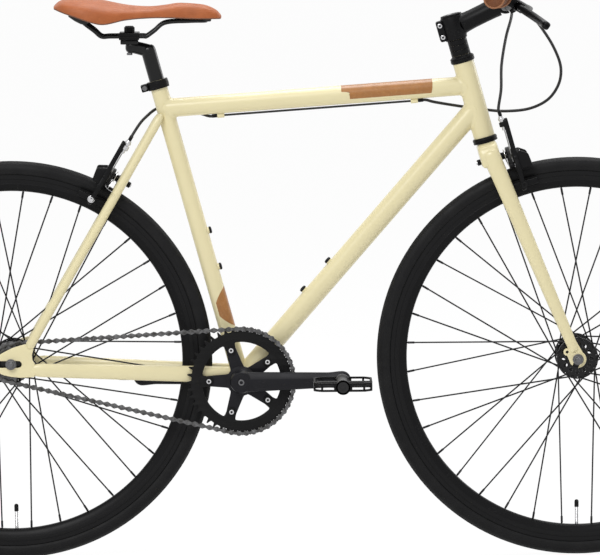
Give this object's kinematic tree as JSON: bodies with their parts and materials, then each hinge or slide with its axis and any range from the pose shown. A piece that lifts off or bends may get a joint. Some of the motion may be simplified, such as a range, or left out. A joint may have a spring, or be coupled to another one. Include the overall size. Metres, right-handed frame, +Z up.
{
  "type": "single-speed bicycle",
  "caption": "Diamond-frame single-speed bicycle with spoked wheels, chain drive, low riser bar, rim brakes, platform pedals and a padded saddle.",
  "frame": {"origin": "on the ground, midway between the two wheels' contact patches", "axes": "+X towards the front wheel, +Y to the rider's left, +Z up; the chain is on the -Y side"},
  "size_m": [1.635, 0.585, 0.982],
  "materials": {
    "frame_paint": "glossy cream paint on steel tubes",
    "black_alloy": "satin black anodising",
    "grey_alloy": "satin dark grey",
    "black_steel": "black oxide",
    "chain_steel": "dark oiled steel",
    "bright_steel": "plain steel",
    "tyre_rubber": "matt black rubber with fine rings on the sidewall",
    "tube_rubber": "smooth black rubber",
    "tan_leather": "tan leather-like cover",
    "tan_rubber": "tan grips",
    "black_plastic": "matt black moulding",
    "cable_housing": "black cable housing"
  },
  "bodies": {
    "frame": {"head_tube": "frame_paint", "top_tube": "frame_paint", "down_tube": "frame_paint", "seat_tube": "frame_paint", "bottom_bracket_shell": "frame_paint", "chainstay_right": "frame_paint", "chainstay_left": "frame_paint", "seatstays": "frame_paint", "seat_clamp": "black_alloy", "headset_upper_cup": "black_alloy", "headset_lower_cup": "black_alloy", "bottom_bracket_cartridge": "black_steel", "chain": "chain_steel", "rear_axle": "black_steel", "rear_brake_pivot_bolt": "black_steel", "rear_brake_cable": "cable_housing"},
    "saddle": {"seatpost": "black_alloy", "saddle_clamp": "black_steel", "saddle_rails": "black_steel", "saddle_shell": "black_plastic", "saddle_cover": "tan_leather"},
    "steering": {"fork": "frame_paint", "headset_spacers": "black_alloy", "headset_cover": "black_alloy", "stem": "black_alloy", "stem_faceplate": "black_alloy", "stem_cap": "black_alloy", "handlebar": "black_alloy", "grip_right": "tan_rubber", "grip_left": "tan_rubber", "brake_bracket_right": "black_alloy", "brake_bracket_left": "black_alloy", "front_axle": "black_steel", "front_brake_pivot_bolt": "black_steel", "front_brake_cable": "cable_housing"},
    "brake_lever_right": {"brake_lever_right": "black_alloy"},
    "brake_lever_left": {"brake_lever_left": "black_alloy"},
    "front_brake_arm_right": {"front_brake_arm_right": "black_alloy"},
    "front_brake_arm_left": {"front_brake_arm_left": "black_alloy"},
    "rear_brake_arm_right": {"rear_brake_arm_right": "black_alloy"},
    "rear_brake_arm_left": {"rear_brake_arm_left": "black_alloy"},
    "front_wheel": {"front_tyre": "tyre_rubber", "front_rim": "black_alloy", "front_hub": "black_alloy", "front_spokes_right": "black_steel", "front_spokes_left": "black_steel", "front_inner_tube": "tube_rubber"},
    "rear_wheel": {"rear_tyre": "tyre_rubber", "rear_rim": "black_alloy", "rear_hub": "black_alloy", "rear_spokes_right": "black_steel", "rear_spokes_left": "black_steel", "rear_inner_tube": "tube_rubber"},
    "crankset": {"crank_right": "grey_alloy", "crank_left": "grey_alloy", "bottom_bracket_spindle": "bright_steel", "chainring": "black_alloy"},
    "freewheel": {"freewheel": "bright_steel"},
    "pedal_right": {"pedal_right": "black_plastic"},
    "pedal_left": {"pedal_left": "black_plastic"}
  },
  "joints": [
    {"name": "steering", "type": "hinge", "parent": "frame", "child": "steering", "pos_m": [0.43099, 0, 0.32582], "axis": [-0.2672, 0, 0.9636], "range_deg": [-50, 50], "deforming": ["rear_brake_cable"]},
    {"name": "front_wheel_spin", "type": "hinge", "parent": "steering", "child": "front_wheel", "pos_m": [0.4785, 0, 0.339], "axis": [0, 1, 0], "continuous": true},
    {"name": "rear_wheel_spin", "type": "hinge", "parent": "frame", "child": "rear_wheel", "pos_m": [-0.4785, 0, 0.339], "axis": [0, 1, 0], "continuous": true},
    {"name": "crank_spin", "type": "hinge", "parent": "frame", "child": "crankset", "pos_m": [-0.0904, 0, 0.305], "axis": [0, 1, 0], "continuous": true, "deforming": ["chain"]},
    {"name": "freewheel_spin", "type": "hinge", "parent": "frame", "child": "freewheel", "pos_m": [-0.4785, 0, 0.339], "axis": [0, 1, 0], "continuous": true},
    {"name": "pedal_right_spin", "type": "hinge", "parent": "crankset", "child": "pedal_right", "pos_m": [0.07954, -0.135, 0.30945], "axis": [0, 1, 0], "continuous": true},
    {"name": "pedal_left_spin", "type": "hinge", "parent": "crankset", "child": "pedal_left", "pos_m": [-0.26035, 0.135, 0.30055], "axis": [0, 1, 0], "continuous": true},
    {"name": "saddle_height", "type": "slide", "parent": "frame", "child": "saddle", "axis": [-0.2639, 0, 0.9646], "range_m": [-0.045, 0.035]},
    {"name": "brake_lever_left", "type": "hinge", "parent": "steering", "child": "brake_lever_left", "pos_m": [0.37405, 0.14692, 0.94041], "axis": [0.5446, 0, 0.8387], "range_deg": [0, 25], "stiffness_Nm_per_rad": 3, "springref_deg": -5.73, "deforming": ["front_brake_cable"]},
    {"name": "brake_lever_right", "type": "hinge", "parent": "steering", "child": "brake_lever_right", "pos_m": [0.37405, -0.14692, 0.94041], "axis": [-0.5446, 0, -0.8387], "range_deg": [0, 25], "stiffness_Nm_per_rad": 3, "springref_deg": -5.73},
    {"name": "front_brake_arm_right", "type": "hinge", "parent": "steering", "child": "front_brake_arm_right", "pos_m": [0.35352, 0, 0.68], "axis": [0.9636, 0, 0.2672], "range_deg": [0, 1.8]},
    {"name": "front_brake_arm_left", "type": "hinge", "parent": "steering", "child": "front_brake_arm_left", "pos_m": [0.35352, 0, 0.68], "axis": [-0.9636, 0, -0.2672], "range_deg": [0, 1.8]},
    {"name": "rear_brake_arm_right", "type": "hinge", "parent": "frame", "child": "rear_brake_arm_right", "pos_m": [-0.29713, 0, 0.64692], "axis": [0.8647, 0, -0.5023], "range_deg": [0, 1.8]},
    {"name": "rear_brake_arm_left", "type": "hinge", "parent": "frame", "child": "rear_brake_arm_left", "pos_m": [-0.29713, 0, 0.64692], "axis": [-0.8647, 0, 0.5023], "range_deg": [0, 1.8]}
  ],
  "couplings": [
    {"joint": "freewheel_spin", "follows": "crank_spin", "ratio": 2.75},
    {"joint": "front_brake_arm_right", "follows": "brake_lever_left", "ratio": 0.072},
    {"joint": "front_brake_arm_left", "follows": "brake_lever_left", "ratio": 0.072},
    {"joint": "rear_brake_arm_right", "follows": "brake_lever_right", "ratio": 0.072},
    {"joint": "rear_brake_arm_left", "follows": "brake_lever_right", "ratio": 0.072}
  ]
}
